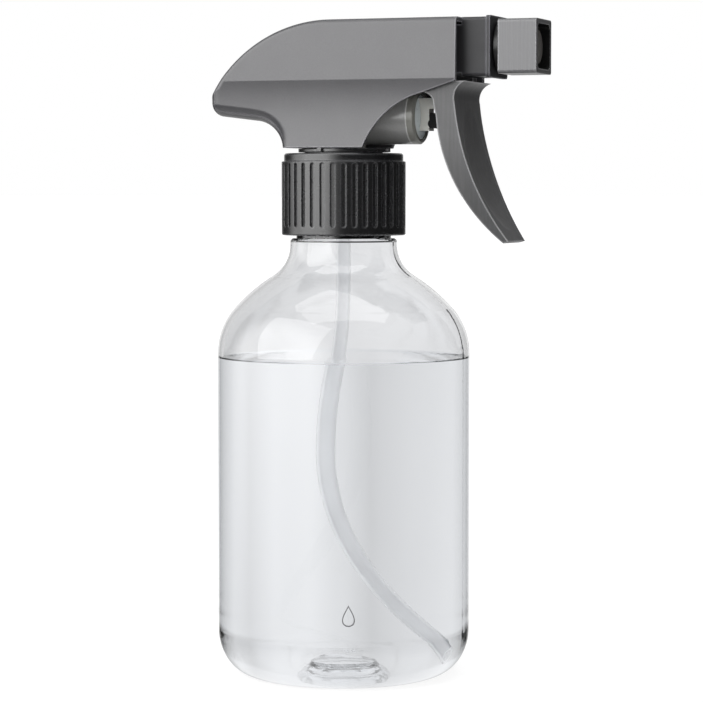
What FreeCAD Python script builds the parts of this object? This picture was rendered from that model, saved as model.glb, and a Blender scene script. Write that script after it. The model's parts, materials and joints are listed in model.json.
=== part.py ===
import FreeCAD, Part
import math
import os

# Hand mister: clear round bottle, screw collar, trigger head with pump, square nozzle.
# Millimetres. +Z up, +X the way it sprays, origin at the centre of the ring it stands on.

V = FreeCAD.Vector
Z_AXIS = V(0, 0, 1)
X_AXIS = V(1, 0, 0)
Y_AXIS = V(0, 1, 0)

# Bottle
BOTTLE_R = 33.5
WALL = 1.3
HEEL_WIDE = 9.5
HEEL_TALL = 12.0
REST_RING_R = BOTTLE_R - HEEL_WIDE
REST_RING_IN_R = 23.0
PUSH_UP_R = 7.0
PUSH_UP_Z = 4.5
DIMPLE_R = 6.4
DIMPLE_Z = 4.9
BASE_BOW = (15.0, 2.8)
FLOOR_RISE = 1.4
SHOULDER_Z = 85.7
SHOULDER_R = 18.0
SHOULDER_TURN = 42.0
SLOPE_R = 48.0
SLOPE_TURN = 58.0
NECK_R = 14.2
NECK_TOP_Z = 115.6
FINISH_R = 12.6
FINISH_Z = 116.2
FINISH_STEP = 0.6
FINISH_EDGE = 0.4
MOUTH_R = 10.9
MOUTH_Z = 134.6
WATER_Z = 84.5
WATER_GAP = 0.1
ROOM_SIDE = 3.8
ROOM_END = 2.2
ROOM_TAIL = 4.0
ROOM_HALF = 2.4

# Screw thread between bottle and collar
PITCH = 4.23
THREAD_Z = 121.5
THREAD_TURNS = 1.5
THREAD_CREST_R = 13.7
THREAD_SINK = 0.3
THREAD_ROOT_HALF = 1.2
THREAD_CREST_HALF = 0.6
COLLAR_THREAD_R = 12.95
COLLAR_THREAD_TURNS = 1.25
COLLAR_THREAD_SINK = 0.25
COLLAR_ROOT_HALF = 0.85
COLLAR_CREST_HALF = 0.45

# Collar
COLLAR_R = 16.45
COLLAR_FOOT_Z = 117.0
COLLAR_TOP_Z = 138.6
COLLAR_BORE_R = 14.05
COLLAR_LEDGE_Z = 137.45
COLLAR_HOLE_R = 10.8
COLLAR_FOOT_EDGE = 0.3
BAND_R = 15.8
BAND_Z = 136.6
BAND_STEP = 0.2
BAND_EDGE = 0.4
SLOTS = 36
SLOT_WIDE = 1.2
SLOT_FOOT_Z = 119.2
SLOT_TOP_Z = 136.0
SLOT_FLOOR_R = 15.75

# Valve body, black, held down by the collar, with lugs on its ring below the shroud's foot
GASKET_R = 13.2
GASKET_HOLE_R = 9.6
GASKET_TOP_Z = 136.0
FLANGE_TOP_Z = 137.4
FLANGE_R = 13.4
SWIVEL_R = 10.4
RING_R = 12.0
RING_FOOT_Z = 138.9
RING_TOP_Z = 139.8
STEM_R = 6.0
STEM_FOOT_Z = 126.0
SOCKET_R = 4.0
SEAT_Z = 134.0
LUG_WIDE = 1.3
LUG_IN_R = 10.8
LUG_OUT_R = 12.9
LUG_TURNS = (0.0, 100.0, -100.0)
VENT_X = -8.2
VENT_R = 0.8
VENT_DEEP = 5.0
PLUG_TALL = 1.4
PLUG_HEAD_R = 1.3
PLUG_HEAD_TALL = 0.6
RETAINER_R = 5.4
RETAINER_TALL = 1.2

# Inlet valve
BALL_R = 1.6
SEAT_HOLE_R = 1.1
CHAMBER_R = 2.1
BALL_PLAY = 0.03
CAGE_Z = 137.8
CAGE_TALL = 0.8
CAGE_SLOT_HALF = 0.4
CAGE_RIM = 0.5
DUCT_R = 1.2

# Pump body, grey, plugged into the valve body's ring
PLUG_IN_R = 4.6
PLUG_IN_Z = 139.2
BARREL_Z = 148.0
BARREL_R = 7.1
BARREL_BORE_R = 5.95
BARREL_BACK_X = -9.0
BORE_BACK_X = -3.5
BARREL_FRONT_X = 19.8
BUSH_FRONT_X = 21.9
BUSH_EDGE = 0.5
PISTON_R = 5.8
PISTON_BACK_X = 7.5
CUP_FRONT_X = 9.5
CUP_R = 5.9
CUP_LIP = 0.3
CUP_TAPER = 0.8
SPIGOT_R = 4.2
SPRING_POCKET_R = 3.5
SPRING_POCKET_X = 12.0
PISTON_RIM_X = 21.4
PISTON_NOSE_X = 22.3
PISTON_DOME = 0.25
SPRING_R = 2.9
SPRING_WIRE_R = 0.35
SPRING_COILS = 7

# Spray line and nose
SPRAY_Z = 165.8
TUBE_R = 3.4
TUBE_BORE_R = 1.6
TUBE_FRONT_X = 30.0
RISER_X = -2.0
RISER_HALF = 4.5
RISER_TOP_Z = 169.8
RISER_BORE_R = 1.4
NOSE_BACK_X = 27.0
NOSE_FRONT_X = 41.7
NOSE_HALF = 7.5
NOSE_FOOT_Z = 158.2
NOSE_TOP_Z = 173.4
NOSE_SHANK_TOP_Z = 171.5
NOSE_ROUND = 0.8
OUTLET_X = 34.0
FLAP_FRONT_X = 36.0
OUTLET_FRONT_X = 37.0
FLAP_SLIT_HALF = 0.15
FLAP_SLIT_REACH = 1.4
PLATE_FRONT_X = 42.8
PLATE_HALF = 7.95
PLATE_ROUND = 1.0
SPOUT_R = 4.6
SPOUT_FRONT_X = 50.4
SPOUT_BORE_R = 2.6
SPOUT_BORE_X = 43.5
CORE_X = 43.6
CORE_FIT = 0.05
CORE_FRONT_X = 50.2
FLUTE_R = 0.6
SWIRL_R = 1.2
SWIRL_DEEP = 0.6
SEAL_X = 46.5
SEAL_HALF = 0.55
SEAL_DEEP = 1.0
SEAL_WIRE_R = 0.48

# Nozzle
CAP_BACK_X = 44.6
CAP_FRONT_X = 54.9
CAP_HALF = 7.0
CAP_ROUND = 0.8
CAP_HUB_X = 43.2
CAP_HUB_R = 6.6
CAP_BORE_R = 4.65
CAP_BORE_END_X = 50.9
RECESS_X = 51.9
RECESS_HALF = 5.8
RECESS_ROUND = 1.5
DISC_R = 4.4
DISC_FRONT_X = 53.3
DISC_STUB_R = 2.0
FUNNEL_IN_R = 0.5
FUNNEL_OUT_R = 2.6
FUNNEL_DEEP = 0.6
SPRAY_HOLE_R = 0.4

# Trigger; its outline is given as (x, z) points
PIVOT_X = 30.5
PIVOT_Z = 160.6
PIN_R = 1.5
PIN_FIT = 0.06
TRIGGER_HALF = 11.1
TRIGGER_WALL = 1.7
FRONT_WALL = 2.0
ARM_GAP = 0.4
ARM_R = 3.2
ARM_BACK_X = 27.6
ARM_FRONT_X = 33.4
ARM_FOOT_Z = 154.0
TRIGGER_TOP_Z = 156.9
TRIGGER_SOLID_Z = 120.0
LIP = ((37.4, TRIGGER_TOP_Z), (35.0, 155.2), (34.3, 151.5))
GRIP = ((34.3, 151.5), (38.0, 134.7), (47.9, 115.6))
TRIGGER_REAR = ((46.4, 115.2), (34.4, 130.2), (29.3, 148.0))
NECK_CORNER = ((28.6, 151.1), (27.72, 153.22), (25.6, 154.1))
TIP_HALF = 7.4
TAPER_TOP_Z = 142.0
TAPER_MIDDLE_Z = 128.5
TAPER_FOOT_Z = 115.0
TAPER_BOW = 1.0
DISH_TOP = (34.45, 150.6)
DISH_MIDDLE = (36.7, 134.1)
DISH_FOOT = (46.5, 117.9)
DISH_CURVE_R = 29.0

# Bar inside the trigger, between two cheeks that pass either side of the piston's yoke
BAR_X = 25.9
BAR_Z = 146.2
BAR_R = 1.2
CHEEK_IN = 2.3
CHEEK_OUT = 3.7
CHEEK_BACK_X = 25.1
CHEEK_FOOT_Z = 145.0
CHEEK_TOP_Z = 148.95

# Yoke on the piston, hooked over the trigger's bar
YOKE_HALF = 2.0
YOKE_FOOT_Z = 144.4
YOKE_ARM_Z = 150.1
YOKE_TOP_Z = 152.9
YOKE_PAD_X = 24.5
YOKE_HOOK_X = 27.3
YOKE_FRONT_X = 28.5

# Shroud
SHROUD_HALF = 12.8
SHROUD_WALL = 1.3
SHROUD_FRONT_X = 35.0
SHROUD_TOP_Z = 173.3
SHROUD_FOOT_Z = 140.0
CUT_FOOT = (9.6, SHROUD_FOOT_Z)
CUT_MIDDLE = (15.2, 148.3)
CUT_BEND = (24.5, 153.6)
CUT_TOP_Z = 157.0
RIB_XS = (8.0, 20.0)
RIB_WIDE = 1.2
BACK_R = 37.8
BACK_CENTRE_Z = SHROUD_TOP_Z - BACK_R
REAR_WALL_X = -13.4
UNDERCUT_R = 8.0
UNDERSIDE_SLOPE = 7.0
UNDERCUT_Z = 139.2
TIP_R = 3.6
TOP_ROUND = 1.3
TOP_HALF = 12.1
CREASE_Z = 157.6
WAIST_Z = 149.0
WAIST_HALF = 12.25
FOOT_HALF = 12.65
CROWN_PAST = 1.0
UNDER_ROUND = 3.2

# Dip tube
DIP_R = 1.9
DIP_BORE_R = 1.25
DIP_TOP_Z = 131.9
DIP_BEND_Z = 106.0
DIP_BENDS = [(150.0, 9.5, 1), (130.0, 9.5, -1), (60.0, 52.0, -1)]
DIP_TAIL = 8.0
HEAD_LIFT = PITCH * THREAD_TURNS

# Cutters run this far past whatever they cut
PAST = 20.0


def rz(r, z):
    return V(r, 0, z)


def on_arc(cx, cz, r, deg):
    a = math.radians(deg)
    return V(cx + r * math.cos(a), 0, cz + r * math.sin(a))


def arc(cx, cz, r, start, end):
    """Arc in the XZ plane about (cx, cz), from one angle to the other in degrees."""
    middle = (start + end) / 2
    return arc3(on_arc(cx, cz, r, start), on_arc(cx, cz, r, middle), on_arc(cx, cz, r, end))


def arc3(a, b, c):
    return Part.Arc(a, b, c).toShape()


def line(a, b):
    return Part.makeLine(a, b)


def through(points):
    """Arc through three (x, z) points."""
    return arc3(*[rz(*point) for point in points])


def path(points):
    return [line(a, b) for a, b in zip(points, points[1:])]


def face(edges):
    return Part.Face(Part.Wire(Part.sortEdges(edges)[0]))


def turn(edges):
    """Solid of revolution about Z from a closed outline in the XZ plane."""
    return face(edges).revolve(V(0, 0, 0), Z_AXIS, 360)


def ring(outer, inner, z0, z1):
    body = Part.makeCylinder(outer, z1 - z0, V(0, 0, z0))
    if inner:
        body = body.cut(Part.makeCylinder(inner, z1 - z0, V(0, 0, z0)))
    return body


def along_x(r, x0, x1, z, y=0.0):
    return Part.makeCylinder(r, x1 - x0, V(x0, y, z), X_AXIS)


def along_y(r, y0, y1, x, z):
    return Part.makeCylinder(r, y1 - y0, V(x, y0, z), Y_AXIS)


def block(x0, x1, half, z0, z1):
    return Part.makeBox(x1 - x0, 2 * half, z1 - z0, V(x0, -half, z0))


def prism(edges, half):
    """Outline in the XZ plane pushed to both sides of the middle plane."""
    flat = face(edges)
    flat.translate(V(0, -half, 0))
    return flat.extrude(V(0, 2 * half, 0))


def square_bar(x0, x1, half, corner):
    bar = block(x0, x1, half, SPRAY_Z - half, SPRAY_Z + half)
    long_edges = [e for e in bar.Edges if abs(e.tangentAt(e.FirstParameter).x) > 0.99]
    return bar.makeFillet(corner, long_edges)


def thread(root, crest, root_half, crest_half, z0, turns):
    """Trapezoid ridge wound about Z, from the root radius to the crest radius."""
    helix = Part.makeHelix(PITCH, PITCH * turns, (root + crest) / 2)
    profile = Part.makePolygon([
        V(root, 0, -root_half),
        V(crest, 0, -crest_half),
        V(crest, 0, crest_half),
        V(root, 0, root_half),
        V(root, 0, -root_half),
    ])
    ridge = Part.Wire(helix.Edges).makePipeShell([profile], True, True)
    ridge.translate(V(0, 0, z0))
    return ridge


def body_side(inset):
    """Bottle side from the rest ring up to the neck: outer skin at 0, inner at WALL."""
    low = rz(REST_RING_R, HEEL_TALL)
    heel = Part.Ellipse(
        low + V(0, 0, -(HEEL_TALL - inset)),
        low + V(HEEL_WIDE - inset, 0, 0),
        low,
    )
    edges = [Part.ArcOfEllipse(heel, 0, math.pi / 2).toShape()]
    edges.append(line(rz(BOTTLE_R - inset, HEEL_TALL), rz(BOTTLE_R - inset, SHOULDER_Z)))
    first = BOTTLE_R - SHOULDER_R
    edges.append(arc(first, SHOULDER_Z, SHOULDER_R - inset, 0, SHOULDER_TURN))
    joint = on_arc(first, SHOULDER_Z, SHOULDER_R, SHOULDER_TURN)
    slope = on_arc(joint.x, joint.z, SLOPE_R, SHOULDER_TURN + 180)
    edges.append(arc(slope.x, slope.z, SLOPE_R - inset, SHOULDER_TURN, SLOPE_TURN))
    root = on_arc(slope.x, slope.z, SLOPE_R, SLOPE_TURN)
    root_r = (root.x - NECK_R) / (1 - math.cos(math.radians(SLOPE_TURN)))
    neck = on_arc(root.x, root.z, root_r, SLOPE_TURN)
    edges.append(arc(neck.x, neck.z, root_r + inset, SLOPE_TURN + 180, 180))
    return edges, neck.z


def bottle():
    outer, neck_z = body_side(0)
    inner, _ = body_side(WALL)
    base = [
        line(rz(0, DIMPLE_Z), rz(DIMPLE_R, DIMPLE_Z)),
        line(rz(DIMPLE_R, DIMPLE_Z), rz(PUSH_UP_R, PUSH_UP_Z)),
        through([(PUSH_UP_R, PUSH_UP_Z), BASE_BOW, (REST_RING_IN_R, 0)]),
        line(rz(REST_RING_IN_R, 0), rz(REST_RING_R, 0)),
    ]
    finish = path([
        rz(NECK_R, neck_z),
        rz(NECK_R, NECK_TOP_Z),
        rz(NECK_R - FINISH_STEP, FINISH_Z),
        rz(FINISH_R, FINISH_Z),
        rz(FINISH_R, MOUTH_Z - FINISH_EDGE),
        rz(FINISH_R - FINISH_EDGE, MOUTH_Z),
        rz(MOUTH_R, MOUTH_Z),
        rz(MOUTH_R, NECK_TOP_Z + NECK_R - WALL - MOUTH_R - FINISH_EDGE),
        rz(NECK_R - WALL, NECK_TOP_Z - FINISH_EDGE),
        rz(NECK_R - WALL, neck_z),
    ])
    floor = inside_floor(WALL, FLOOR_RISE) + [line(rz(0, DIMPLE_Z + FLOOR_RISE), rz(0, DIMPLE_Z))]
    shell = turn(base + outer + finish + inner + floor)
    ridge = thread(
        FINISH_R - THREAD_SINK, THREAD_CREST_R, THREAD_ROOT_HALF, THREAD_CREST_HALF,
        THREAD_Z, THREAD_TURNS)
    return shell.fuse(ridge)


def inside_floor(inset, rise):
    """Inner face of the pushed-up base, from the heel to the middle."""
    bow = (BASE_BOW[0], BASE_BOW[1] + rise)
    return [
        through([(REST_RING_R, inset), bow, (PUSH_UP_R, PUSH_UP_Z + rise)]),
        line(rz(PUSH_UP_R, PUSH_UP_Z + rise), rz(DIMPLE_R, DIMPLE_Z + rise)),
        line(rz(DIMPLE_R, DIMPLE_Z + rise), rz(0, DIMPLE_Z + rise)),
    ]


def dip_line(tail_length):
    """Centre line of the dip tube: straight, three tangent bends, straight tail."""
    at = V(0, 0, DIP_TOP_Z)
    bend = V(0, 0, DIP_BEND_Z)
    edges = [line(at, bend)]
    at = bend
    heading = 270.0
    for radius, degrees, side in DIP_BENDS:
        centre = on_arc(at.x, at.z, radius, heading - 90 * side)
        start = heading + 90 * side
        end = start - degrees * side
        edges.append(arc(centre.x, centre.z, radius, start, end))
        at = on_arc(centre.x, centre.z, radius, end)
        heading -= degrees * side
    edges.append(line(at, on_arc(at.x, at.z, tail_length, heading)))
    return edges


def pipe(edges, radius):
    circle = Part.makeCircle(radius, V(0, 0, DIP_TOP_Z), Z_AXIS)
    return Part.Wire(edges).makePipeShell([Part.Wire([circle])], True, False)


def dip_tube():
    edges = dip_line(DIP_TAIL)
    return pipe(edges, DIP_R).cut(pipe(edges, DIP_BORE_R))


def tube_room():
    """Space in the water for the dip tube, at rest and lifted with the head."""
    low = Part.Wire(dip_line(DIP_TAIL + ROOM_TAIL))
    high = Part.Wire(dip_line(DIP_TAIL + ROOM_TAIL))
    low.translate(V(-ROOM_SIDE, 0, -ROOM_END))
    high.translate(V(ROOM_SIDE, 0, HEAD_LIFT + ROOM_END))
    ends = [
        line(low.OrderedVertexes[0].Point, high.OrderedVertexes[0].Point),
        line(low.OrderedVertexes[-1].Point, high.OrderedVertexes[-1].Point),
    ]
    return prism(low.Edges + high.Edges + ends, ROOM_HALF)


def water():
    inset = WALL + WATER_GAP
    side, _ = body_side(inset)
    top = rz(BOTTLE_R - inset, WATER_Z)
    wall = line(rz(BOTTLE_R - inset, HEEL_TALL), top)
    rise = FLOOR_RISE + WATER_GAP
    edges = [side[0], wall, line(top, rz(0, WATER_Z)), line(rz(0, WATER_Z), rz(0, DIMPLE_Z + rise))]
    return turn(edges + inside_floor(inset, rise)).cut(tube_room())


def collar():
    outline = path([
        rz(COLLAR_BORE_R, COLLAR_FOOT_Z),
        rz(COLLAR_R - COLLAR_FOOT_EDGE, COLLAR_FOOT_Z),
        rz(COLLAR_R, COLLAR_FOOT_Z + COLLAR_FOOT_EDGE),
        rz(COLLAR_R, BAND_Z - BAND_STEP),
        rz(BAND_R, BAND_Z),
        rz(BAND_R, COLLAR_TOP_Z - BAND_EDGE),
        rz(BAND_R - BAND_EDGE, COLLAR_TOP_Z),
        rz(COLLAR_HOLE_R, COLLAR_TOP_Z),
        rz(COLLAR_HOLE_R, COLLAR_LEDGE_Z),
        rz(COLLAR_BORE_R, COLLAR_LEDGE_Z),
        rz(COLLAR_BORE_R, COLLAR_FOOT_Z),
    ])
    half = SLOT_WIDE / 2
    slot = block(SLOT_FLOOR_R, COLLAR_R + 1, half, SLOT_FOOT_Z + half, SLOT_TOP_Z - half)
    for z in (SLOT_FOOT_Z + half, SLOT_TOP_Z - half):
        slot = slot.fuse(along_x(half, SLOT_FLOOR_R, COLLAR_R + 1, z))
    slots = []
    for n in range(SLOTS):
        copy = slot.copy()
        copy.rotate(V(0, 0, 0), Z_AXIS, n * 360.0 / SLOTS)
        slots.append(copy)
    ridge = thread(
        COLLAR_BORE_R + COLLAR_THREAD_SINK, COLLAR_THREAD_R, COLLAR_ROOT_HALF, COLLAR_CREST_HALF,
        THREAD_Z - PITCH / 2, COLLAR_THREAD_TURNS)
    return turn(outline).cut(Part.makeCompound(slots)).fuse(ridge)


def valve_body():
    body = ring(FLANGE_R, 0, GASKET_TOP_Z, FLANGE_TOP_Z)
    body = body.fuse(ring(SWIVEL_R, 0, FLANGE_TOP_Z, RING_FOOT_Z))
    body = body.fuse(ring(RING_R, 0, RING_FOOT_Z, RING_TOP_Z))
    body = body.fuse(ring(STEM_R, 0, STEM_FOOT_Z, GASKET_TOP_Z))
    for degrees in LUG_TURNS:
        lug = block(LUG_IN_R, LUG_OUT_R, LUG_WIDE / 2, RING_FOOT_Z, SHROUD_FOOT_Z)
        lug.rotate(V(0, 0, 0), Z_AXIS, degrees)
        body = body.fuse(lug)
    holes = [
        ring(SOCKET_R, 0, STEM_FOOT_Z - 1, SEAT_Z),
        ring(CHAMBER_R, 0, SEAT_Z - 1, CAGE_Z + CAGE_TALL),
        ring(DUCT_R, 0, CAGE_Z, PLUG_IN_Z + 1),
        ring(PLUG_IN_R, 0, PLUG_IN_Z, RING_TOP_Z + 1),
        Part.makeCylinder(VENT_R, VENT_DEEP, V(VENT_X, 0, GASKET_TOP_Z - 0.5)),
    ]
    for hole in holes:
        body = body.cut(hole)
    return body


def pump_body():
    """Stem, barrel, riser and spray tube in one piece, with the water's way through them."""
    body = ring(PLUG_IN_R, 0, PLUG_IN_Z, RING_TOP_Z).fuse(ring(STEM_R, 0, RING_TOP_Z, BARREL_Z))
    body = body.fuse(along_x(BARREL_R, BARREL_BACK_X, BARREL_FRONT_X, BARREL_Z))
    body = body.fuse(block(RISER_X - RISER_HALF, RISER_X + RISER_HALF, RISER_HALF, BARREL_Z, RISER_TOP_Z))
    body = body.fuse(along_x(TUBE_R, RISER_X, TUBE_FRONT_X, SPRAY_Z))
    holes = [
        ring(DUCT_R, 0, PLUG_IN_Z - 1, BARREL_Z - BARREL_BORE_R + 1),
        along_x(BARREL_BORE_R, BORE_BACK_X, BARREL_FRONT_X + 1, BARREL_Z),
        Part.makeCylinder(RISER_BORE_R, SPRAY_Z - BARREL_Z, V(RISER_X, 0, BARREL_Z)),
        along_x(TUBE_BORE_R, RISER_X, TUBE_FRONT_X + 1, SPRAY_Z),
    ]
    for hole in holes:
        body = body.cut(hole)
    return body


def tube_retainer():
    flange = ring(RETAINER_R, 0, STEM_FOOT_Z - RETAINER_TALL, STEM_FOOT_Z)
    plug = ring(SOCKET_R, 0, STEM_FOOT_Z, SEAT_Z).fuse(flange)
    plug = plug.cut(ring(DIP_R, 0, STEM_FOOT_Z - 2, DIP_TOP_Z))
    plug = plug.cut(ring(SEAT_HOLE_R, 0, DIP_TOP_Z - 1, SEAT_Z + 1))
    return plug


def inlet_ball():
    rest = SEAT_Z + math.sqrt(BALL_R ** 2 - SEAT_HOLE_R ** 2) + BALL_PLAY
    return Part.makeSphere(BALL_R, V(0, 0, rest))


def ball_cage():
    cage = ring(CHAMBER_R, 0, CAGE_Z, CAGE_Z + CAGE_TALL)
    for turn_deg in (0, 90):
        slot = block(-CHAMBER_R - 1, CHAMBER_R + 1, CAGE_SLOT_HALF, CAGE_Z - 1, CAGE_Z + 2)
        slot.rotate(V(0, 0, 0), Z_AXIS, turn_deg)
        cage = cage.cut(slot.common(ring(CHAMBER_R - CAGE_RIM, 0, CAGE_Z - 1, CAGE_Z + 2)))
    return cage


def vent_plug():
    stem = Part.makeCylinder(VENT_R, PLUG_TALL, V(VENT_X, 0, GASKET_TOP_Z))
    head = Part.makeCylinder(PLUG_HEAD_R, PLUG_HEAD_TALL, V(VENT_X, 0, GASKET_TOP_Z - PLUG_HEAD_TALL))
    return stem.fuse(head)


def x_turned(outline):
    """Solid of revolution about the pump axis; outline points are (x, height above it)."""
    points = [V(x, 0, BARREL_Z + h) for x, h in outline]
    return face(path(points)).revolve(V(0, 0, BARREL_Z), X_AXIS, 360)


def piston():
    dome = arc3(
        V(PISTON_RIM_X, 0, BARREL_Z + PISTON_R),
        V(PISTON_NOSE_X - PISTON_DOME, 0, BARREL_Z + PISTON_R / 2),
        V(PISTON_NOSE_X, 0, BARREL_Z),
    )
    outline = [
        (PISTON_NOSE_X, 0),
        (SPRING_POCKET_X, 0),
        (SPRING_POCKET_X, SPRING_POCKET_R),
        (PISTON_BACK_X, SPRING_POCKET_R),
        (PISTON_BACK_X, SPIGOT_R),
        (CUP_FRONT_X, SPIGOT_R),
        (CUP_FRONT_X, PISTON_R),
        (PISTON_RIM_X, PISTON_R),
    ]
    edges = path([V(x, 0, BARREL_Z + h) for x, h in outline]) + [dome]
    plunger = face(edges).revolve(V(0, 0, BARREL_Z), X_AXIS, 360)
    return plunger.cut(block(PISTON_RIM_X, YOKE_FRONT_X, YOKE_HALF, YOKE_FOOT_Z, YOKE_TOP_Z))


def piston_cup():
    return x_turned([
        (PISTON_BACK_X, SPIGOT_R),
        (CUP_FRONT_X, SPIGOT_R),
        (CUP_FRONT_X, CUP_R - CUP_LIP),
        (CUP_FRONT_X - CUP_TAPER, CUP_R),
        (PISTON_BACK_X + 0.1, CUP_R),
        (PISTON_BACK_X - CUP_LIP, CUP_R - CUP_LIP),
        (PISTON_BACK_X, SPIGOT_R),
    ])


def piston_yoke():
    """Pad in the piston's face, an arm over the trigger's bar and a hook in front of it."""
    yoke = block(PISTON_RIM_X, YOKE_PAD_X, YOKE_HALF, YOKE_FOOT_Z, YOKE_TOP_Z)
    yoke = yoke.fuse(block(YOKE_PAD_X, YOKE_FRONT_X, YOKE_HALF, YOKE_ARM_Z, YOKE_TOP_Z))
    return yoke.fuse(block(YOKE_HOOK_X, YOKE_FRONT_X, YOKE_HALF, YOKE_FOOT_Z, YOKE_ARM_Z))


def barrel_bush():
    return x_turned([
        (BARREL_FRONT_X, BARREL_BORE_R),
        (BUSH_FRONT_X, BARREL_BORE_R),
        (BUSH_FRONT_X, BARREL_R - BUSH_EDGE),
        (BUSH_FRONT_X - BUSH_EDGE, BARREL_R),
        (BARREL_FRONT_X, BARREL_R),
        (BARREL_FRONT_X, BARREL_BORE_R),
    ])


def return_spring():
    length = SPRING_POCKET_X - BORE_BACK_X - 2 * SPRING_WIRE_R
    helix = Part.makeHelix(length / SPRING_COILS, length, SPRING_R)
    wire = Part.Wire([Part.makeCircle(SPRING_WIRE_R, V(SPRING_R, 0, 0), Y_AXIS)])
    coil = Part.Wire(helix.Edges).makePipeShell([wire], True, True)
    coil.rotate(V(0, 0, 0), Y_AXIS, 90)
    coil.translate(V(BORE_BACK_X + SPRING_WIRE_R, 0, BARREL_Z))
    return coil


def nose_block():
    nose = block(SHROUD_FRONT_X, NOSE_FRONT_X, NOSE_HALF, NOSE_FOOT_Z, NOSE_TOP_Z)
    long_edges = [e for e in nose.Edges if abs(e.tangentAt(e.FirstParameter).x) > 0.99]
    nose = nose.makeFillet(NOSE_ROUND, long_edges)
    shank_foot = NOSE_FOOT_Z + NOSE_ROUND
    nose = nose.fuse(block(NOSE_BACK_X, SHROUD_FRONT_X, NOSE_HALF, shank_foot, NOSE_SHANK_TOP_Z))
    nose = nose.fuse(along_x(SPOUT_R, NOSE_FRONT_X, SPOUT_FRONT_X, SPRAY_Z))
    groove = along_x(SPOUT_R + 1, SEAL_X - SEAL_HALF, SEAL_X + SEAL_HALF, SPRAY_Z)
    groove = groove.cut(along_x(SPOUT_R - SEAL_DEEP, SEAL_X - 1, SEAL_X + 1, SPRAY_Z))
    holes = [
        groove,
        along_x(TUBE_R, NOSE_BACK_X - 1, TUBE_FRONT_X, SPRAY_Z),
        along_x(TUBE_BORE_R, TUBE_FRONT_X - 1, SPOUT_FRONT_X, SPRAY_Z),
        along_x(SPOUT_BORE_R, SPOUT_BORE_X, SPOUT_FRONT_X + 1, SPRAY_Z),
        along_x(SPOUT_BORE_R, OUTLET_X, OUTLET_FRONT_X, SPRAY_Z),
        along_y(PIN_R, -PAST, PAST, PIVOT_X, PIVOT_Z),
    ]
    for hole in holes:
        nose = nose.cut(hole)
    return nose


def outlet_valve():
    """Soft disc in the spray line, slit to let water forward only."""
    flap = along_x(SPOUT_BORE_R, OUTLET_X, FLAP_FRONT_X, SPRAY_Z)
    low = SPRAY_Z - FLAP_SLIT_REACH
    high = SPRAY_Z + FLAP_SLIT_REACH
    return flap.cut(block(OUTLET_X - 1, FLAP_FRONT_X + 1, FLAP_SLIT_HALF, low, high))


def nose_plate():
    plate = square_bar(NOSE_FRONT_X, PLATE_FRONT_X, PLATE_HALF, PLATE_ROUND)
    return plate.cut(along_x(SPOUT_R, NOSE_FRONT_X - 1, PLATE_FRONT_X + 1, SPRAY_Z))


def swirl_core():
    """Core that spins the water: three flutes along it and a dished front."""
    core = along_x(SPOUT_BORE_R - CORE_FIT, CORE_X, CORE_FRONT_X, SPRAY_Z)
    for n in range(3):
        a = math.radians(120 * n)
        y = SPOUT_BORE_R * math.sin(a)
        z = SPRAY_Z + SPOUT_BORE_R * math.cos(a)
        core = core.cut(along_x(FLUTE_R, CORE_X - 1, SPOUT_FRONT_X + 1, z, y))
    return core.cut(along_x(SWIRL_R, CORE_FRONT_X - SWIRL_DEEP, SPOUT_FRONT_X + 1, SPRAY_Z))


def nozzle_seal():
    return Part.makeTorus(SPOUT_R - 0.45, SEAL_WIRE_R, V(SEAL_X, 0, SPRAY_Z), X_AXIS)


def nozzle_cap():
    cap = square_bar(CAP_BACK_X, CAP_FRONT_X, CAP_HALF, CAP_ROUND)
    cap = cap.fuse(along_x(CAP_HUB_R, CAP_HUB_X, CAP_BACK_X, SPRAY_Z))
    cap = cap.cut(square_bar(RECESS_X, CAP_FRONT_X + 1, RECESS_HALF, RECESS_ROUND))
    cap = cap.cut(along_x(CAP_BORE_R, CAP_HUB_X - 1, CAP_BORE_END_X, SPRAY_Z))
    return cap.cut(along_x(DISC_STUB_R, CAP_BORE_END_X - 1, RECESS_X + 1, SPRAY_Z))


def orifice_disc():
    disc = along_x(DISC_R, RECESS_X, DISC_FRONT_X, SPRAY_Z)
    disc = disc.fuse(along_x(DISC_STUB_R, CAP_BORE_END_X, RECESS_X, SPRAY_Z))
    funnel_x = DISC_FRONT_X - FUNNEL_DEEP
    funnel = Part.makeCone(FUNNEL_IN_R, FUNNEL_OUT_R, FUNNEL_DEEP, V(funnel_x, 0, SPRAY_Z), X_AXIS)
    disc = disc.cut(funnel)
    return disc.cut(along_x(SPRAY_HOLE_R, CAP_BORE_END_X - 1, DISC_FRONT_X + 1, SPRAY_Z))


def trigger_front(inset):
    """Front curve of the trigger, from the lip under the nose down to the tip."""
    return [through([(x - inset, z) for x, z in curve]) for curve in (LIP, GRIP)]


def trigger_side():
    """Side outline of the trigger below the nose."""
    edges = trigger_front(0) + [through(TRIGGER_REAR), through(NECK_CORNER)]
    edges.append(line(rz(*GRIP[-1]), rz(*TRIGGER_REAR[0])))
    edges.append(line(rz(*TRIGGER_REAR[-1]), rz(*NECK_CORNER[0])))
    neck_x = NECK_CORNER[-1][0]
    return edges + path([rz(*NECK_CORNER[-1]), rz(neck_x, TRIGGER_TOP_Z), rz(*LIP[0])])


def trigger_width(half):
    """Block with the trigger's outline seen from the front: wide above, narrow at the tip."""
    low = TIP_HALF - (TRIGGER_HALF - half)
    points = [(half, TAPER_TOP_Z), (half - TAPER_BOW, TAPER_MIDDLE_Z), (low, TAPER_FOOT_Z)]
    right = [V(0, y, z) for y, z in points]
    left = [V(0, -y, z) for y, z in points]
    top = TRIGGER_TOP_Z + PAST
    side = [arc3(*right), line(right[2], left[2]), arc3(*left)]
    side += path([left[0], V(0, -half, top), V(0, half, top), right[0]])
    return face(side).extrude(V(4 * PAST, 0, 0))


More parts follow.
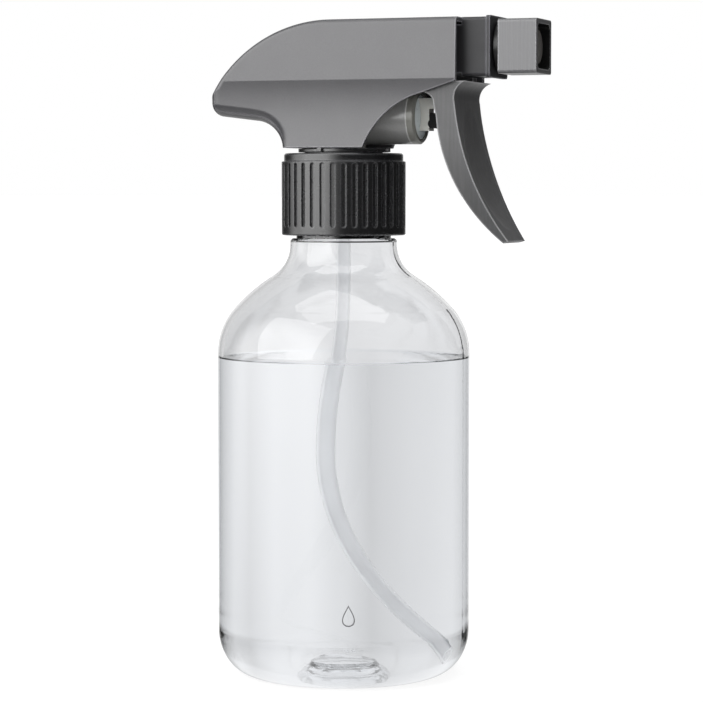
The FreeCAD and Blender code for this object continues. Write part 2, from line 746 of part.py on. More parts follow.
def finger_dish():
    """Ring-shaped cutter that hollows the trigger's front and runs out at both ends."""
    curve = arc3(rz(*DISH_TOP), rz(*DISH_MIDDLE), rz(*DISH_FOOT)).Curve
    cutter = Part.makeTorus(curve.Radius - DISH_CURVE_R, DISH_CURVE_R, curve.Center, Y_AXIS)
    return cutter.common(block(PIVOT_X, PIVOT_X + 2 * PAST, PAST, TRIGGER_SOLID_Z - PAST, DISH_TOP[1]))


def trigger_pocket():
    """Hollow behind the trigger's front wall, open to the rear."""
    front = trigger_front(FRONT_WALL)
    back = PIVOT_X - PAST
    top = TRIGGER_TOP_Z + 1
    head_x = LIP[0][0] - FRONT_WALL
    foot_x, foot_z = GRIP[-1]
    front.append(line(rz(foot_x - FRONT_WALL, foot_z), rz(back, foot_z)))
    front += path([rz(back, foot_z), rz(back, top), rz(head_x, top), rz(head_x, TRIGGER_TOP_Z)])
    room = prism(front, TRIGGER_HALF).common(trigger_width(TRIGGER_HALF - TRIGGER_WALL))
    return room.cut(block(0, 4 * PAST, PAST, TRIGGER_SOLID_Z - PAST, TRIGGER_SOLID_Z))


def trigger():
    lever = prism(trigger_side(), TRIGGER_HALF).common(trigger_width(TRIGGER_HALF))
    lever = lever.cut(trigger_pocket())
    arm = along_y(ARM_R, -TRIGGER_HALF, TRIGGER_HALF, PIVOT_X, PIVOT_Z)
    arm = arm.fuse(block(ARM_BACK_X, ARM_FRONT_X, TRIGGER_HALF, ARM_FOOT_Z, PIVOT_Z))
    gap = NOSE_HALF + ARM_GAP
    arm = arm.cut(block(ARM_BACK_X - PAST, ARM_FRONT_X + PAST, gap, ARM_FOOT_Z - 1, PIVOT_Z + PAST))
    lever = lever.fuse(arm).cut(finger_dish())
    return lever.cut(along_y(PIN_R + PIN_FIT, -PAST, PAST, PIVOT_X, PIVOT_Z))


def trigger_bar():
    """Bar for the piston's yoke, carried by two cheeks that stand on the trigger's front wall."""
    bar = block(CHEEK_BACK_X, LIP[0][0], CHEEK_OUT, CHEEK_FOOT_Z, CHEEK_TOP_Z)
    bar = bar.cut(block(CHEEK_BACK_X - 1, LIP[0][0] + 1, CHEEK_IN, CHEEK_FOOT_Z - 1, CHEEK_TOP_Z + 1))
    bar = bar.fuse(along_y(BAR_R, -CHEEK_OUT, CHEEK_OUT, BAR_X, BAR_Z))
    return bar.common(trigger_pocket())


def trigger_pin():
    return along_y(PIN_R, -TRIGGER_HALF + 0.1, TRIGGER_HALF - 0.1, PIVOT_X, PIVOT_Z)


def shroud_upper(inset, half):
    """Flat top and rounded back, run down past the rear tip."""
    top = SHROUD_TOP_Z - inset
    radius = BACK_R - inset
    edges = [line(V(SHROUD_FRONT_X + inset, 0, top), V(0, 0, top))]
    edges.append(arc(0, BACK_CENTRE_Z, radius, 90, 180))
    edges += path([
        V(-radius, 0, BACK_CENTRE_Z),
        V(SHROUD_FRONT_X + inset, 0, BACK_CENTRE_Z),
        V(SHROUD_FRONT_X + inset, 0, top),
    ])
    return prism(edges, half)


def tip_centre():
    """Centre of the rear tip's arc, touching both the back's arc and the underside."""
    slope = math.radians(UNDERSIDE_SLOPE)
    ahead = V(-math.cos(slope), 0, math.sin(slope))
    start = on_arc(REAR_WALL_X - UNDERCUT_R, UNDERCUT_Z, UNDERCUT_R + TIP_R, 90 - UNDERSIDE_SLOPE)
    away = start - V(0, 0, BACK_CENTRE_Z)
    b = away.dot(ahead)
    c = away.dot(away) - (BACK_R - TIP_R) ** 2
    return start + ahead * (-b + math.sqrt(b * b - c))


def shroud_lower(inset, half, foot, front):
    """Rear tip, underside, rear wall and foot, run up past the top."""
    tip = tip_centre()
    r = TIP_R - inset
    low = 270 - UNDERSIDE_SLOPE
    bend_x = REAR_WALL_X - UNDERCUT_R
    bend = UNDERCUT_R + inset
    start = V(tip.x - r, 0, SHROUD_TOP_Z + PAST)
    edges = [line(start, V(tip.x - r, 0, tip.z)), arc(tip.x, tip.z, r, 180, low)]
    under = on_arc(bend_x, UNDERCUT_Z, bend, 90 - UNDERSIDE_SLOPE)
    edges.append(line(on_arc(tip.x, tip.z, r, low), under))
    stop = math.degrees(math.asin(max(foot - UNDERCUT_Z, 0) / bend))
    edges.append(arc(bend_x, UNDERCUT_Z, bend, 90 - UNDERSIDE_SLOPE, stop))
    end = on_arc(bend_x, UNDERCUT_Z, bend, stop)
    if foot < UNDERCUT_Z:
        edges.append(line(end, V(end.x, 0, foot)))
    edges += front(V(end.x, 0, foot), start)
    return prism(edges, half)


def front_cut(foot, start):
    """Foot of the shroud, then the sloping cut up to the front."""
    edges = [line(foot, rz(*CUT_FOOT)), through([CUT_FOOT, CUT_MIDDLE, CUT_BEND])]
    return edges + path([rz(*CUT_BEND), rz(SHROUD_FRONT_X, CUT_TOP_Z), rz(SHROUD_FRONT_X, start.z), start])


def open_front(foot, start):
    ahead = SHROUD_FRONT_X + PAST
    return path([foot, rz(ahead, foot.z), rz(ahead, start.z), start])


def side_edges(solid, wanted):
    """Outline edges along the two sides whose middle passes the test."""
    found = []
    for edge in solid.Edges:
        middle = edge.valueAt((edge.FirstParameter + edge.LastParameter) / 2)
        along = abs(edge.tangentAt(edge.FirstParameter).y) < 0.3
        if along and abs(middle.y) > TOP_HALF - 0.5 and wanted(middle):
            found.append(edge)
    return found


def on_top_or_back(point):
    if point.x > SHROUD_FRONT_X - 1 or point.z < BACK_CENTRE_Z + 1 + CROWN_PAST:
        return False
    on_back = abs(math.hypot(point.x, point.z - BACK_CENTRE_Z) - BACK_R) < 0.05
    return on_back or abs(point.z - SHROUD_TOP_Z) < 0.01


def on_rear(point):
    return point.x < REAR_WALL_X + 1 and SHROUD_FOOT_Z < point.z - 0.01 and point.z < SHROUD_TOP_Z - 1


def shroud_crown():
    """Cross-section of the sides: drafted above the crease, slightly waisted below it."""
    top = V(0, TOP_HALF, SHROUD_TOP_Z + CROWN_PAST)
    crease = V(0, SHROUD_HALF, CREASE_Z)
    waist = V(0, WAIST_HALF, WAIST_Z)
    foot = V(0, FOOT_HALF, SHROUD_FOOT_Z - CROWN_PAST)
    far = [V(0, -p.y, p.z) for p in (top, crease, waist, foot)]
    edges = [line(top, crease), arc3(crease, waist, foot), line(foot, far[3])]
    edges += [arc3(far[3], far[2], far[1]), line(far[1], far[0]), line(far[0], top)]
    crown = face(edges)
    crown.translate(V(-2 * BACK_R, 0, 0))
    return crown.extrude(V(4 * BACK_R, 0, 0))


def shroud():
    crown = shroud_crown()
    upper = shroud_upper(0, SHROUD_HALF + 1).common(crown)
    upper = upper.makeFillet(TOP_ROUND, side_edges(upper, on_top_or_back))
    lower = shroud_lower(0, SHROUD_HALF + 1, SHROUD_FOOT_Z, front_cut).common(crown)
    lower = lower.makeFillet(UNDER_ROUND, side_edges(lower, on_rear))
    skin = upper.common(lower)
    inner = SHROUD_HALF - SHROUD_WALL
    room = shroud_upper(SHROUD_WALL, inner)
    room = room.common(shroud_lower(SHROUD_WALL, inner, BACK_CENTRE_Z - 5, open_front))
    cover = skin.cut(room)
    for x in RIB_XS:
        cover = cover.fuse(block(x, x + RIB_WIDE, inner, SPRAY_Z + TUBE_R, SHROUD_TOP_Z - SHROUD_WALL))
    return cover


def neck_gasket():
    return ring(GASKET_R, GASKET_HOLE_R, MOUTH_Z, GASKET_TOP_Z)


NODES = {
    "bottle": bottle,
    "water_fill": water,
    "collar": collar,
    "neck_gasket": neck_gasket,
    "valve_body": valve_body,
    "pump_body": pump_body,
    "tube_retainer": tube_retainer,
    "dip_tube": dip_tube,
    "inlet_ball": inlet_ball,
    "ball_cage": ball_cage,
    "vent_plug": vent_plug,
    "barrel_bush": barrel_bush,
    "piston": piston,
    "piston_cup": piston_cup,
    "piston_yoke": piston_yoke,
    "return_spring": return_spring,
    "nose_block": nose_block,
    "nose_plate": nose_plate,
    "outlet_valve": outlet_valve,
    "swirl_core": swirl_core,
    "nozzle_seal": nozzle_seal,
    "nozzle_cap": nozzle_cap,
    "orifice_disc": orifice_disc,
    "trigger": trigger,
    "trigger_bar": trigger_bar,
    "trigger_pin": trigger_pin,
    "shroud": shroud,
}

os.makedirs("parts", exist_ok=True)
for name, make in NODES.items():
    shape = make()
    if not shape.isValid() or len(shape.Solids) != 1:
        print("CHECK", name, shape.isValid(), len(shape.Solids))
    shape = shape.Solids[0]
    shape.exportStep("parts/" + name + ".step")
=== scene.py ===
import json
import math

import bmesh
import bpy
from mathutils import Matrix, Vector


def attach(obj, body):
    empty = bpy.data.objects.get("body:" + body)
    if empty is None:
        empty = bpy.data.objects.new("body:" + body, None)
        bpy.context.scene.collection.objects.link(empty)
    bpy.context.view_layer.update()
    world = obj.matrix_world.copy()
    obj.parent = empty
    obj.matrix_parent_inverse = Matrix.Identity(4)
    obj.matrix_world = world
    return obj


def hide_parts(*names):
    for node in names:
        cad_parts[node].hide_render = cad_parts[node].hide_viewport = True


# Looks of the hand mister: clear bottle of water, black screw collar, satin grey trigger head.
# Everything is in metres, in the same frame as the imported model.

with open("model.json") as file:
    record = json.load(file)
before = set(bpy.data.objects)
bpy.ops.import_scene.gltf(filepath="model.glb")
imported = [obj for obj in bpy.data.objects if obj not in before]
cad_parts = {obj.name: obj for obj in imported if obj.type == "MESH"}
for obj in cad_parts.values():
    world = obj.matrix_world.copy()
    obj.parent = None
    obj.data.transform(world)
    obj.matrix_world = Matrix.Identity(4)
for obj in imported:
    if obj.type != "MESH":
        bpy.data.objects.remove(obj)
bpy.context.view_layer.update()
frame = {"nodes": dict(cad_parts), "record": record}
nodes = frame["nodes"]

MM = 0.001

# Edges: how far they are rounded for the light, and how wide the painted highlight along them is, a paler
# colour standing in for light caught on the edge.
EDGE_MM = 0.35
EDGE_HIGHLIGHT_MM = 0.7
BEVEL_SAMPLES = 6
FLAT_COSINE = 0.998
EDGE_COSINE = 0.93
SHARP_ANGLE = math.radians(40)

# The room round the object. Directions are unit axes; a pair is where something starts and ends
# along its axis, from -1 facing away to 1 facing along.
UP = (0, 0, 1)
ROOM_FILL = 0.15
CARD_SIDE = (-0.707, -0.707, 0)
CARD_EDGE = (0.5, 0.85)
CARD_FOOT = (-0.22, 0.04)
CARD_GLOW = 3.6
BACKDROP_SIDE = (-0.342, 0.94, 0)
BACKDROP_EDGE = (0.9, 0.97)
BACKDROP_GLOW = 0.9
BACKDROP_ACROSS = (0.94, 0.342, 0)
GLOSS_BY_HEIGHT = ((0.0, 1.4), (0.24, 1.1), (0.37, 0.06), (0.52, 0.05), (0.95, 0.7))
SEEN_THROUGH = (
    (0.0, 0.7), (0.205, 0.9), (0.37, 0.76), (0.45, 0.66), (0.5, 0.8),
    (0.56, 0.88), (0.638, 0.9), (0.72, 0.76), (0.8, 0.9), (1.0, 0.55))

# Lamps: name, place, width, height, brightness, and whether they show in reflections.
LIGHT_AIM = Vector((0, 0, 0.14))
LAMPS = (
    ("key", (-0.494, -0.705, 0.54), 1.1, 1.1, 2.2, True),
    ("fill", (0.42, -0.66, 0.08), 0.5, 0.5, 3.5, False),
    ("top", (0.05, -0.1, 0.95), 0.9, 0.6, 2.0, True),
    ("rim_right", (0.75, 0.15, 0.25), 0.08, 0.7, 3.0, False),
)

# The camera stands 20 degrees round from the side and looks 3.5 degrees down.
CAMERA_PLACE = (0.24136, -0.65708, 0.1292)
CAMERA_TILT = math.radians(86.468)
CAMERA_TURN = math.radians(20.0)
CAMERA_REACH = 200.0
SENSOR_MM = 36.0
LENS_MM = 134.82

# Floor: half its side, its grey, and its glow from near the object to further out.
FLOOR_HALF = 40.0
FLOOR_GREY = 0.3
FLOOR_MOTTLE = 0.005
FLOOR_GLOW = (0.86, 1.0)
FLOOR_GLOW_REACH = (0.1, 0.5)


# ---------------------------------------------------------------- node helpers

def fill_ramp(ramp, stops):
    """Sets a colour ramp's stops from (place, colour) in rising order."""
    points = ramp.color_ramp.elements
    points[0].position = stops[0][0]
    points[-1].position = stops[-1][0]
    for place, _ in stops[1:-1]:
        points.new(place)
    for point, (_, colour) in zip(points, stops):
        point.color = (*colour, 1)


class Surface:
    """A Principled material with procedural detail laid out in object space."""

    def __init__(self, name, colour, roughness, **sockets):
        self.material = bpy.data.materials.new(name)
        self.material.use_nodes = True
        self.tree = self.material.node_tree
        self.shader = self.tree.nodes["Principled BSDF"]
        self.shader.inputs["Base Color"].default_value = (*colour, 1)
        self.shader.inputs["Roughness"].default_value = roughness
        for socket, value in sockets.items():
            self.shader.inputs[socket.replace("_", " ")].default_value = value
        self.place = self.node("ShaderNodeTexCoord").outputs["Object"]

    def node(self, kind, **settings):
        made = self.tree.nodes.new(kind)
        for name, value in settings.items():
            setattr(made, name, value)
        return made

    def link(self, output, socket):
        self.tree.links.new(output, socket)

    def stretched(self, scale):
        """Object space scaled by a different amount along each axis."""
        mapping = self.node("ShaderNodeMapping")
        mapping.inputs["Scale"].default_value = scale
        self.link(self.place, mapping.inputs["Vector"])
        return mapping.outputs["Vector"]

    def noise(self, size_mm, detail=3.0, stretch=(1, 1, 1)):
        texture = self.node("ShaderNodeTexNoise")
        texture.inputs["Scale"].default_value = 1 / (size_mm * MM)
        texture.inputs["Detail"].default_value = detail
        self.link(self.stretched(stretch), texture.inputs["Vector"])
        return texture.outputs["Fac"]

    def spread(self, value, low, high, start=0.3, end=0.7):
        """Maps a texture value from start..end to low..high."""
        ranged = self.node("ShaderNodeMapRange")
        ranged.inputs["From Min"].default_value = start
        ranged.inputs["From Max"].default_value = end
        ranged.inputs["To Min"].default_value = low
        ranged.inputs["To Max"].default_value = high
        self.link(value, ranged.inputs["Value"])
        return ranged.outputs["Result"]

    def tint(self, value, colours):
        """Drives the base colour through a ramp of (place, colour)."""
        ramp = self.node("ShaderNodeValToRGB")
        fill_ramp(ramp, colours)
        self.link(value, ramp.inputs["Fac"])
        self.link(ramp.outputs["Color"], self.shader.inputs["Base Color"])
        return ramp

    def within(self, centre, half):
        """One inside a box given by its centre and half sizes in metres, nought outside it."""
        inside = None
        for axis, middle, reach in zip("XYZ", centre, half):
            split = self.node("ShaderNodeSeparateXYZ")
            self.link(self.place, split.inputs["Vector"])
            near = self.node("ShaderNodeMath", operation="COMPARE")
            near.inputs[1].default_value = middle
            near.inputs[2].default_value = reach
            self.link(split.outputs[axis], near.inputs[0])
            if inside is None:
                inside = near.outputs["Value"]
                continue
            both = self.node("ShaderNodeMath", operation="MULTIPLY")
            self.link(inside, both.inputs[0])
            self.link(near.outputs["Value"], both.inputs[1])
            inside = both.outputs["Value"]
        return inside

    def rounded(self, radius_mm):
        """The surface's direction, turned smoothly over edges of the given radius."""
        bevel = self.node("ShaderNodeBevel", samples=BEVEL_SAMPLES)
        bevel.inputs["Radius"].default_value = radius_mm * MM
        return bevel.outputs["Normal"]

    def edges(self, radius_mm):
        """Nought on open ground, one along edges, fading over the given width."""
        rounded = self.rounded(radius_mm)
        turned = self.node("ShaderNodeVectorMath", operation="DOT_PRODUCT")
        self.link(rounded, turned.inputs[0])
        self.link(self.node("ShaderNodeNewGeometry").outputs["Normal"], turned.inputs[1])
        return self.spread(turned.outputs["Value"], 0.0, 1.0, FLAT_COSINE, EDGE_COSINE)

    def cover(self, under, amount, colour):
        """Lays a plain colour over another by the given amount and makes it the base colour."""
        laid = self.node("ShaderNodeMixRGB")
        laid.inputs["Color2"].default_value = (*colour, 1)
        self.link(under, laid.inputs["Color1"])
        self.link(amount, laid.inputs["Fac"])
        self.link(laid.outputs["Color"], self.shader.inputs["Base Color"])
        return laid.outputs["Color"]

    def shine(self, value, low, high):
        self.link(self.spread(value, low, high), self.shader.inputs["Roughness"])

    def bump(self, value, depth_mm, edge_mm=0.0):
        """Fine relief, over edges rounded to the given radius so that they catch the light."""
        bump = self.node("ShaderNodeBump")
        bump.inputs["Distance"].default_value = depth_mm * MM
        self.link(value, bump.inputs["Height"])
        if edge_mm:
            self.link(self.rounded(edge_mm), bump.inputs["Normal"])
        self.link(bump.outputs["Normal"], self.shader.inputs["Normal"])


def grey(value):
    return (value, value, value)


def shade(colour, factor):
    return tuple(min(c * factor, 1.0) for c in colour)


def moulded(name, colour, roughness, grain_mm=0.25, grain_depth=0.005, mottle=0.10,
            edge_highlight_gain=1.0, streaks=0.0, **sockets):
    """Moulded plastic: flow mottling, specks, scuffs in the gloss, fine grain, and paler edges that are a
    painted highlight.
    """
    surface = Surface(name, colour, roughness, **sockets)
    flow = surface.noise(9.0, 4.0, (1, 1, 0.6))
    base = surface.tint(flow, [
        (0.3, shade(colour, 1 - mottle)),
        (0.55, colour),
        (0.8, shade(colour, 1 + mottle)),
    ])
    now = base.outputs["Color"]
    speck = surface.spread(surface.noise(0.35, 2.0), 0.0, 0.35)
    now = surface.cover(now, speck, shade(colour, 0.72))
    if streaks:
        drawn = surface.spread(surface.noise(0.7, 5.0, (1, 1, 0.03)), 0.0, streaks)
        now = surface.cover(now, drawn, shade(colour, 0.35))
    # Painted highlight: the edges are drawn paler than the plastic, standing in for light caught along
    # them.
    if edge_highlight_gain > 1:
        surface.cover(now, surface.edges(EDGE_HIGHLIGHT_MM), shade(colour, edge_highlight_gain))
    scuff = surface.noise(3.0, 6.0, (0.5, 1, 1))
    surface.shine(scuff, roughness * 0.94, roughness * 1.08)
    surface.bump(surface.noise(grain_mm, 2.0), grain_depth, EDGE_MM)
    return surface.material


def brushed(name, colour, roughness):
    """Foil-bright plastic brushed up and down, near black in the front recess and on the hub."""
    surface = Surface(name, colour, roughness, Metallic=0.4)
    lines = surface.noise(0.5, 8.0, (1, 1, 0.02))
    bright = surface.tint(lines, [
        (0.25, shade(colour, 0.72)),
        (0.5, colour),
        (0.75, shade(colour, 1.28)),
    ])
    # Painted highlight: the edges are drawn paler than the foil, standing in for light caught along them.
    now = surface.cover(bright.outputs["Color"], surface.edges(EDGE_HIGHLIGHT_MM), shade(colour, 2.2))
    for room in (RECESS, HUB):
        now = surface.cover(now, surface.within(*room), RECESS_BLACK)
    surface.shine(lines, roughness * 0.8, roughness * 1.25)
    surface.bump(lines, 0.012, EDGE_MM)
    return surface.material


def clear(name, colour, ior, roughness, ripple_mm, ripple_depth):
    """Clear plastic or water: a faint tint, soft ripples and very light haze."""
    surface = Surface(
        name, colour, roughness, IOR=ior, Transmission_Weight=1.0)
    wave = surface.noise(ripple_mm, 2.0, (1, 1, 0.35))
    surface.tint(wave, [(0.3, shade(colour, 0.985)), (0.7, colour)])
    haze = surface.noise(2.5, 6.0)
    surface.shine(haze, roughness * 0.4, roughness * 1.6)
    surface.bump(wave, ripple_depth)
    return surface.material


def milky(name, colour, roughness, through, ior=1.5, grain_mm=0.6):
    """Unpigmented polyethylene: light passes but nothing shows clearly behind it."""
    surface = Surface(
        name, colour, roughness, IOR=ior, Transmission_Weight=through)
    cloud = surface.noise(4.0, 4.0, (1, 1, 0.4))
    surface.tint(cloud, [(0.3, shade(colour, 0.94)), (0.7, colour)])
    surface.shine(surface.noise(1.2, 5.0), roughness * 0.85, roughness * 1.2)
    surface.bump(surface.noise(grain_mm, 3.0), 0.01)
    return surface.material


# ------------------------------------------------------------------- materials

SHROUD_GREY = (0.072, 0.071, 0.076)
TRIGGER_GREY = (0.085, 0.085, 0.087)
NOSE_DARK = (0.02, 0.02, 0.022)
COLLAR_BLACK = (0.007, 0.007, 0.0075)
CAP_FOIL = (0.113, 0.113, 0.116)
RECESS_BLACK = (0.008, 0.008, 0.008)
RECESS = ((0.0533, 0.0, 0.1658), (0.00157, 0.00583, 0.00583))
HUB = ((0.0438, 0.0, 0.1658), (0.00079, 0.0069, 0.0069))

# The paler edges asked for below are painted highlights, for the light that the edges catch.
MATERIALS = {
    "clear_bottle": clear("clear_bottle", (0.985, 0.99, 1.0), 1.5, 0.01, 14.0, 0.02),
    "water": clear("water", (0.985, 0.993, 1.0), 1.333, 0.004, 20.0, 0.01),
    "black_plastic": moulded("black_plastic", COLLAR_BLACK, 0.27, edge_highlight_gain=7.0, Specular_IOR_Level=0.65),
    "seal_rubber": moulded("seal_rubber", (0.03, 0.03, 0.032), 0.6),
    "milky_tube": milky("milky_tube", (0.99, 0.995, 1.0), 0.42, 0.97, 1.06),
    "natural_plastic": milky("natural_plastic", (0.85, 0.86, 0.85), 0.4, 0.3),
    "glass_ball": clear("glass_ball", (0.97, 0.99, 0.98), 1.52, 0.01, 3.0, 0.001),
    "olive_plastic": milky("olive_plastic", (0.23, 0.23, 0.21), 0.35, 0.1),
    "pale_plunger": milky("pale_plunger", (0.86, 0.93, 0.95), 0.3, 0.05),
    "grey_pump": moulded("grey_pump", (0.26, 0.26, 0.256), 0.25, edge_highlight_gain=2.5),
    "spring_steel": moulded("spring_steel", (0.55, 0.55, 0.56), 0.25, Metallic=1.0),
    "grey_shroud": moulded("grey_shroud", SHROUD_GREY, 0.24, mottle=0.05, edge_highlight_gain=3.5),
    "dark_nose": moulded("dark_nose", NOSE_DARK, 0.4, edge_highlight_gain=9.0, Specular_IOR_Level=0.3),
    "grey_trigger": moulded("grey_trigger", TRIGGER_GREY, 0.42, mottle=0.03, edge_highlight_gain=5.0, streaks=0.4),
    "brushed_cap": brushed("brushed_cap", CAP_FOIL, 0.36),
    "disc_plastic": moulded("disc_plastic", (0.09, 0.085, 0.08), 0.4),
}

# Pieces that look unlike the others of their slot.
OWN_LOOK = {
    "trigger_bar": moulded("dull_black", (0.004, 0.004, 0.004), 0.6, Specular_IOR_Level=0.1),
    "piston_yoke": milky("pale_olive", (0.72, 0.72, 0.67), 0.35, 0.1),
}

for part in frame["record"]["subparts"]:
    skin = nodes[part["node"]].data.materials
    skin.clear()
    skin.append(OWN_LOOK.get(part["node"], MATERIALS[part["material_slot"]]))


# ---------------------------------------------------------------- water and mark

WALL_IN_R = 32.23
WATER_Z = 84.5
MENISCUS_TALL = 0.5
MENISCUS_WIDE = 1.3
HEEL_CENTRE = (24.0, 12.0)
HEEL_RADII = (8.23, 10.73)
FLOOR_POINTS = ((24.0, 1.27), (15.0, 4.17), (7.0, 5.87), (6.4, 6.27), (0.0, 6.27))
LATHE_STEPS = 192
FLOOR_STEPS = 24
HEEL_STEPS = 24
MENISCUS_STEPS = 12
WALL_HEIGHTS = (30.0, 50.0, 70.0)
SURFACE_RADII = (24.0, 12.0, 0.0)


def lathe(name, profile):
    """Closed turned mesh from (radius, height) points in millimetres, ending on the axis."""
    shape = bmesh.new()
    rings = []
    for radius, height in profile:
        if radius == 0:
            rings.append([shape.verts.new((0, 0, height * MM))])
            continue
        rings.append([
            shape.verts.new((
                radius * MM * math.cos(2 * math.pi * n / LATHE_STEPS),
                radius * MM * math.sin(2 * math.pi * n / LATHE_STEPS),
                height * MM))
            for n in range(LATHE_STEPS)
        ])
    for low, high in zip(rings, rings[1:]):
        for n in range(LATHE_STEPS):
            m = (n + 1) % LATHE_STEPS
            corners = [low[n % len(low)], low[m % len(low)], high[m % len(high)], high[n % len(high)]]
            shape.faces.new(list(dict.fromkeys(corners)))
    bmesh.ops.recalc_face_normals(shape, faces=shape.faces)
    return finish_mesh(name, shape)


def finish_mesh(name, shape):
    mesh = bpy.data.meshes.new(name)
    shape.to_mesh(mesh)
    shape.free()
    mesh.shade_smooth()
    mesh.set_sharp_from_angle(angle=SHARP_ANGLE)
    piece = bpy.data.objects.new(name, mesh)
    bpy.context.scene.collection.objects.link(piece)
    return piece


def arc_through(a, b, c, steps):
    """Points of the circle through three points, from the first to the last."""
    ax, ay, bx, by, cx, cy = *a, *b, *c
    d = 2 * (ax * (by - cy) + bx * (cy - ay) + cx * (ay - by))
    a2, b2, c2 = ax * ax + ay * ay, bx * bx + by * by, cx * cx + cy * cy
    x = (a2 * (by - cy) + b2 * (cy - ay) + c2 * (ay - by)) / d
    y = (a2 * (cx - bx) + b2 * (ax - cx) + c2 * (bx - ax)) / d
    radius = math.hypot(ax - x, ay - y)
    start, end = (math.atan2(q - y, p - x) for p, q in (a, c))
    angles = [start + (end - start) * n / steps for n in range(steps + 1)]
    return [(x + radius * math.cos(t), y + radius * math.sin(t)) for t in angles]


def water_profile():
    """From the middle of the floor, up the wall, to the surface curving up at its edge."""
    points = list(FLOOR_POINTS[:2:-1])
    points += arc_through(*FLOOR_POINTS[:3], FLOOR_STEPS)[::-1]
    for n in range(1, HEEL_STEPS + 1):
        t = math.pi / 2 * n / HEEL_STEPS
        points.append((
            HEEL_CENTRE[0] + HEEL_RADII[0] * math.sin(t),
            HEEL_CENTRE[1] - HEEL_RADII[1] * math.cos(t)))
    points += [(WALL_IN_R, z) for z in WALL_HEIGHTS]
    for n in range(MENISCUS_STEPS + 1):
        t = n / MENISCUS_STEPS
        points.append((
            WALL_IN_R - MENISCUS_WIDE * t ** 1.6,
            WATER_Z + MENISCUS_TALL * (1 - t) ** 2.6))
    return points + [(r, WATER_Z) for r in SURFACE_RADII]


def make_water():
    water = lathe("water", water_profile())
    water.data.materials.append(MATERIALS["water"])
    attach(water, "bottle")
    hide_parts("water_fill")


# The mark: a water drop printed on the wall, in millimetres.
MARK_R = 33.5
MARK_TURN = math.radians(-67.8)
MARK_Z = 20.4
MARK_TALL = 5.6
MARK_WIDE = 3.6
MARK_LINE = 0.3
MARK_UNDER = 0.01
MARK_OVER = 0.05


def drop_outline(inset, steps=72):
    """A plain water drop, round below and pointed above, drawn inset millimetres inside."""
    points = []
    # The sines reach 0.70 each way, so the drop is nine tenths of MARK_WIDE across. An inset takes
    # more off the height than off the width, because of the point.
    width = (MARK_WIDE - 2 * inset) * 0.65
    tall = (MARK_TALL - 2.6 * inset) / 2
    for n in range(steps):
        t = 2 * math.pi * n / steps
        across = width * math.sin(t) * math.sin(t / 2) ** 1.5
        points.append((across, tall * math.cos(t) - 0.3 * inset))
    return points


def make_mark():
    shape = bmesh.new()
    rows = []
    section = (
        (0, MARK_UNDER), (0, MARK_OVER), (MARK_LINE, MARK_OVER), (MARK_LINE, MARK_UNDER))
    for inset, lift in section:
        row = []
        for across, up in drop_outline(inset):
            turn = MARK_TURN + across / MARK_R
            radius = (MARK_R + lift) * MM
            row.append(shape.verts.new((
                radius * math.cos(turn), radius * math.sin(turn), (MARK_Z + up) * MM)))
        rows.append(row)
    for row, following in zip(rows, rows[1:] + rows[:1]):
        for n, corner in enumerate(row):
            m = (n + 1) % len(row)
            shape.faces.new((corner, row[m], following[m], following[n]))
    bmesh.ops.recalc_face_normals(shape, faces=shape.faces)
    mark = finish_mesh("drop_mark", shape)
    mark.data.materials.append(moulded("grey_ink", (0.22, 0.22, 0.23), 0.55))
    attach(mark, "bottle")


make_water()
make_mark()


# ------------------------------------------------------------------ the studio

def make_floor():
    half = FLOOR_HALF
    mesh = bpy.data.meshes.new("floor")
    mesh.from_pydata(
        [(-half, -half, 0), (half, -half, 0), (half, half, 0), (-half, half, 0)],
        [], [(0, 1, 2, 3)])
    floor = bpy.data.objects.new("floor", mesh)
    bpy.context.scene.collection.objects.link(floor)
    paper = Surface("pale_floor", grey(FLOOR_GREY), 0.8)
    paper.tint(paper.noise(60.0, 3.0), [
        (0.3, grey(FLOOR_GREY - FLOOR_MOTTLE)),
        (0.7, grey(FLOOR_GREY + FLOOR_MOTTLE)),
    ])
    paper.shader.inputs["Emission Color"].default_value = (1, 1, 1, 1)
    away = paper.node("ShaderNodeVectorMath", operation="LENGTH")
    paper.link(paper.place, away.inputs[0])
    glow = paper.spread(away.outputs["Value"], *FLOOR_GLOW, *FLOOR_GLOW_REACH)
    paper.link(glow, paper.shader.inputs["Emission Strength"])
    mesh.materials.append(paper.material)
    floor.visible_glossy = False
    floor.visible_diffuse = False
    floor.visible_transmission = False


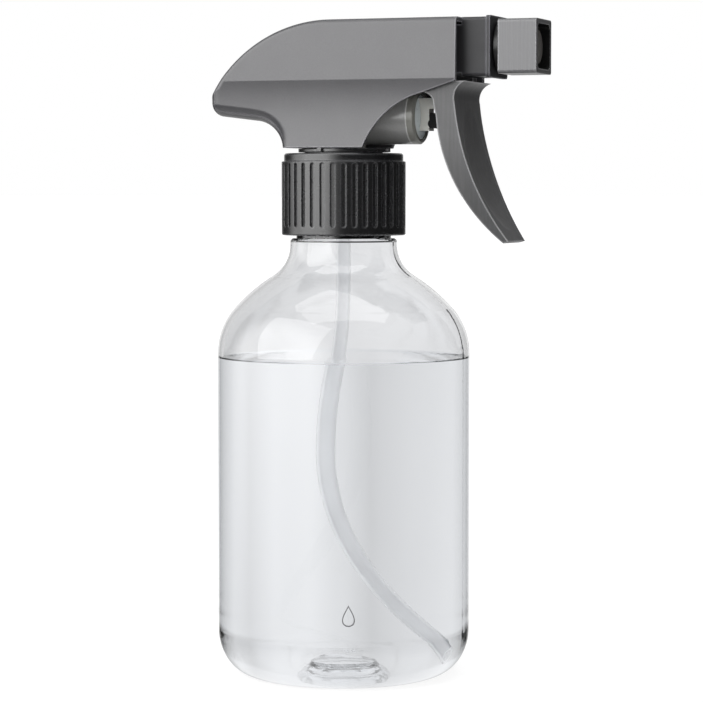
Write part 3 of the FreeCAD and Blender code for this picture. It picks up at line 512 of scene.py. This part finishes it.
class Studio:
    """World shader whose backdrop depends on what kind of ray looks at it."""

    def __init__(self):
        world = bpy.data.worlds.new("studio")
        bpy.context.scene.world = world
        world.use_nodes = True
        self.tree = world.node_tree
        self.tree.nodes.clear()
        self.way = self.add("ShaderNodeTexCoord").outputs["Generated"]
        self.rays = self.add("ShaderNodeLightPath")

    def add(self, kind):
        return self.tree.nodes.new(kind)

    def along(self, axis):
        """How far the ray's direction points along an axis, from -1 to 1."""
        dot = self.add("ShaderNodeVectorMath")
        dot.operation = "DOT_PRODUCT"
        dot.inputs[1].default_value = axis
        self.tree.links.new(self.way, dot.inputs[0])
        return dot.outputs["Value"]

    def graded(self, axis, stops):
        """Grey by direction: stops are (place, brightness), from facing away to facing along."""
        spread = self.add("ShaderNodeMapRange")
        spread.inputs["From Min"].default_value = -1.0
        self.tree.links.new(self.along(axis), spread.inputs["Value"])
        ramp = self.add("ShaderNodeValToRGB")
        fill_ramp(ramp, [(place, grey(value)) for place, value in stops])
        self.tree.links.new(spread.outputs["Result"], ramp.inputs["Fac"])
        return ramp.outputs["Color"]

    def rising(self, axis, start, end):
        """Smooth step from nought to one as the ray turns towards an axis."""
        step = self.add("ShaderNodeMapRange")
        step.interpolation_type = "SMOOTHSTEP"
        step.inputs["From Min"].default_value = start
        step.inputs["From Max"].default_value = end
        self.tree.links.new(self.along(axis), step.inputs["Value"])
        return step.outputs["Result"]

    def times(self, first, second):
        product = self.add("ShaderNodeMath")
        product.operation = "MULTIPLY"
        self.tree.links.new(first, product.inputs[0])
        self.tree.links.new(second, product.inputs[1])
        return product.outputs["Value"]

    def mix(self, amount, first, second):
        """Second colour over the first by the given amount; either may be a plain grey."""
        mixed = self.add("ShaderNodeMixRGB")
        self.tree.links.new(amount, mixed.inputs["Fac"])
        for socket, colour in (("Color1", first), ("Color2", second)):
            if isinstance(colour, float):
                mixed.inputs[socket].default_value = (*grey(colour), 1)
            else:
                self.tree.links.new(colour, mixed.inputs[socket])
        return mixed.outputs["Color"]

    def finish(self, colour):
        background = self.add("ShaderNodeBackground")
        output = self.add("ShaderNodeOutputWorld")
        self.tree.links.new(colour, background.inputs["Color"])
        self.tree.links.new(background.outputs["Background"], output.inputs["Surface"])


def make_world():
    """White sheet behind; a dark room that shines on the plastic; soft bands through the bottle."""
    studio = Studio()
    room = studio.graded(UP, GLOSS_BY_HEIGHT)
    card = studio.times(studio.rising(CARD_SIDE, *CARD_EDGE), studio.rising(UP, *CARD_FOOT))
    shone = studio.mix(card, room, CARD_GLOW)
    shone = studio.mix(studio.rising(BACKDROP_SIDE, *BACKDROP_EDGE), shone, BACKDROP_GLOW)
    through = studio.graded(BACKDROP_ACROSS, SEEN_THROUGH)
    colour = studio.mix(studio.rays.outputs["Is Glossy Ray"], 1.0, shone)
    colour = studio.mix(studio.rays.outputs["Is Transmission Ray"], colour, through)
    studio.finish(studio.mix(studio.rays.outputs["Is Diffuse Ray"], colour, ROOM_FILL))


def softbox(name, place, width, height, brightness, in_reflections):
    """A rectangular lamp aimed at the head, of the given brightness whatever its size."""
    data = bpy.data.lights.new(name, "AREA")
    data.shape = "RECTANGLE"
    data.size = width
    data.size_y = height
    data.energy = brightness * math.pi * width * height
    lamp = bpy.data.objects.new(name, data)
    bpy.context.scene.collection.objects.link(lamp)
    lamp.location = place
    lamp.rotation_mode = "QUATERNION"
    lamp.rotation_quaternion = (LIGHT_AIM - Vector(place)).to_track_quat("-Z", "Y")
    lamp.visible_camera = False
    lamp.visible_transmission = False
    lamp.visible_glossy = in_reflections


def make_camera():
    data = bpy.data.cameras.new("camera")
    data.sensor_width = SENSOR_MM
    data.lens = LENS_MM
    data.clip_end = CAMERA_REACH
    camera = bpy.data.objects.new("camera", data)
    bpy.context.scene.collection.objects.link(camera)
    camera.location = CAMERA_PLACE
    camera.rotation_euler = (CAMERA_TILT, 0, CAMERA_TURN)
    bpy.context.scene.camera = camera


make_floor()
make_world()
for lamp in LAMPS:
    softbox(*lamp)
make_camera()

scene = bpy.context.scene
scene.view_settings.view_transform = "Standard"
scene.cycles.max_bounces = 24
scene.cycles.transmission_bounces = 24
scene.cycles.glossy_bounces = 8
scene.cycles.transparent_max_bounces = 16
